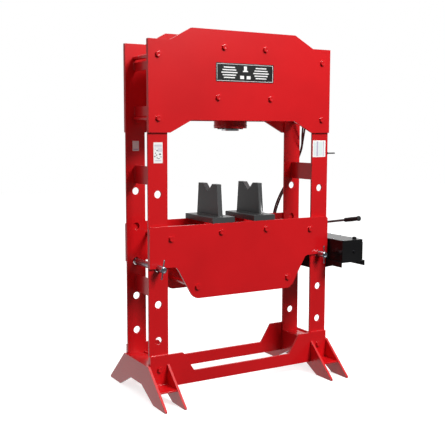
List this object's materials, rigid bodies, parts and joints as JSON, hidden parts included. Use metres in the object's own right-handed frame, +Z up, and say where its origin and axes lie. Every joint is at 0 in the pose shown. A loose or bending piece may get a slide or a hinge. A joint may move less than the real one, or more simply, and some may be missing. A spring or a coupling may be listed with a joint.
{
  "type": "hydraulic shop press",
  "caption": "Floor-standing H-frame shop press: a hand pump drives a cylinder in the plated head down towards V-blocks on a height-adjustable bed held by pins.",
  "frame": {"origin": "floor level, at the middle of the overall width (feet to pump tray) and of the depth", "axes": "+X to the operator's right, where the pump is; -Y towards the operator; +Z up"},
  "size_m": [1.389, 0.734, 2.018],
  "materials": {
    "red_enamel": "glossy red enamel",
    "black_enamel": "glossy black enamel",
    "grey_enamel": "satin dark grey paint on welded steel",
    "zinc_plate": "bright zinc plating",
    "cast_iron": "blackened iron casting",
    "machined_steel": "machined steel",
    "dark_steel": "black-oxide steel",
    "chrome": "hard chrome, ground",
    "black_rubber": "moulded black rubber",
    "hose_rubber": "smooth dark maroon hose cover"
  },
  "bodies": {
    "frame": {"upright_front_left": "red_enamel", "upright_rear_left": "red_enamel", "brace_left_top": "red_enamel", "brace_left_head": "red_enamel", "brace_left_middle": "red_enamel", "brace_left_low": "red_enamel", "head_end_tie_left_upper": "red_enamel", "head_tie_left_upper": "red_enamel", "head_end_tie_left_lower": "red_enamel", "head_tie_left_lower": "red_enamel", "foot_outer_left": "red_enamel", "foot_carrier_left": "red_enamel", "upright_front_right": "red_enamel", "upright_rear_right": "red_enamel", "brace_right_top": "red_enamel", "brace_right_head": "red_enamel", "brace_right_middle": "red_enamel", "head_end_tie_right_upper": "red_enamel", "head_tie_right_upper": "red_enamel", "head_end_tie_right_lower": "red_enamel", "head_tie_right_lower": "red_enamel", "foot_outer_right": "red_enamel", "foot_carrier_right": "red_enamel", "head_plate_front": "red_enamel", "base_rail_front": "red_enamel", "head_plate_rear": "red_enamel", "base_rail_rear": "red_enamel", "head_yoke": "red_enamel", "cylinder_guide": "red_enamel", "cylinder_barrel": "red_enamel", "cylinder_gland": "machined_steel", "pump_bracket": "black_enamel", "pump_tank": "black_enamel", "tank_lid": "black_enamel", "pump_block": "cast_iron", "lever_pivot_pin": "machined_steel", "lever_peg": "dark_steel", "hose_retract": "hose_rubber", "hose_advance": "hose_rubber"},
    "ram": {"ram_rod": "chrome"},
    "bed": {"bed_plate_front": "red_enamel", "bed_plate_rear": "red_enamel", "bed_tie_left_outer": "red_enamel", "bed_tie_left_inner": "red_enamel", "bed_tie_left_lower": "red_enamel", "bed_tie_right_outer": "red_enamel", "bed_tie_right_inner": "red_enamel", "bed_tie_right_lower": "red_enamel"},
    "v_block_left": {"v_block_left_body": "grey_enamel"},
    "v_block_right": {"v_block_right_body": "grey_enamel"},
    "pin_left": {"support_pin_left": "zinc_plate", "pin_bar_left": "zinc_plate"},
    "pin_right": {"support_pin_right": "zinc_plate", "pin_bar_right": "zinc_plate"},
    "lever": {"lever_socket": "cast_iron", "lever_rod": "machined_steel", "lever_grip": "black_rubber"},
    "plunger": {"pump_plunger": "machined_steel"},
    "release_knob": {"release_valve_knob": "black_rubber"},
    "tank_cap": {"filler_cap": "black_enamel"}
  },
  "joints": [
    {"name": "ram_slide", "type": "slide", "parent": "frame", "child": "ram", "axis": [0, 0, -1], "range_m": [0, 0.25]},
    {"name": "bed_slide", "type": "slide", "parent": "frame", "child": "bed", "axis": [0, 0, 1], "range_m": [0, 0.2]},
    {"name": "v_block_left_slide", "type": "slide", "parent": "bed", "child": "v_block_left", "axis": [1, 0, 0], "range_m": [-0.25, 0.05]},
    {"name": "v_block_right_slide", "type": "slide", "parent": "bed", "child": "v_block_right", "axis": [1, 0, 0], "range_m": [-0.05, 0.25]},
    {"name": "pin_left_slide", "type": "slide", "parent": "frame", "child": "pin_left", "axis": [0, -1, 0], "range_m": [0, 0.37]},
    {"name": "pin_right_slide", "type": "slide", "parent": "frame", "child": "pin_right", "axis": [0, -1, 0], "range_m": [0, 0.37]},
    {"name": "lever_hinge", "type": "hinge", "parent": "frame", "child": "lever", "pos_m": [0.59455, 0.0575, 0.8876], "axis": [-1, 0, 0], "range_deg": [-12, 30]},
    {"name": "plunger_slide", "type": "slide", "parent": "frame", "child": "plunger", "axis": [0, 0, 1], "range_m": [-0.006, 0.0145]},
    {"name": "release_knob_hinge", "type": "hinge", "parent": "frame", "child": "release_knob", "pos_m": [0.57955, -0.0028, 0.8419], "axis": [0, -1, 0], "range_deg": [0, 180]},
    {"name": "filler_cap_hinge", "type": "hinge", "parent": "frame", "child": "tank_cap", "pos_m": [0.65155, -0.2485, 0.8259], "axis": [0, 0, 1], "range_deg": [0, 360]}
  ],
  "couplings": [
    {"joint": "plunger_slide", "follows": "lever_hinge", "m_per_rad": 0.026}
  ]
}
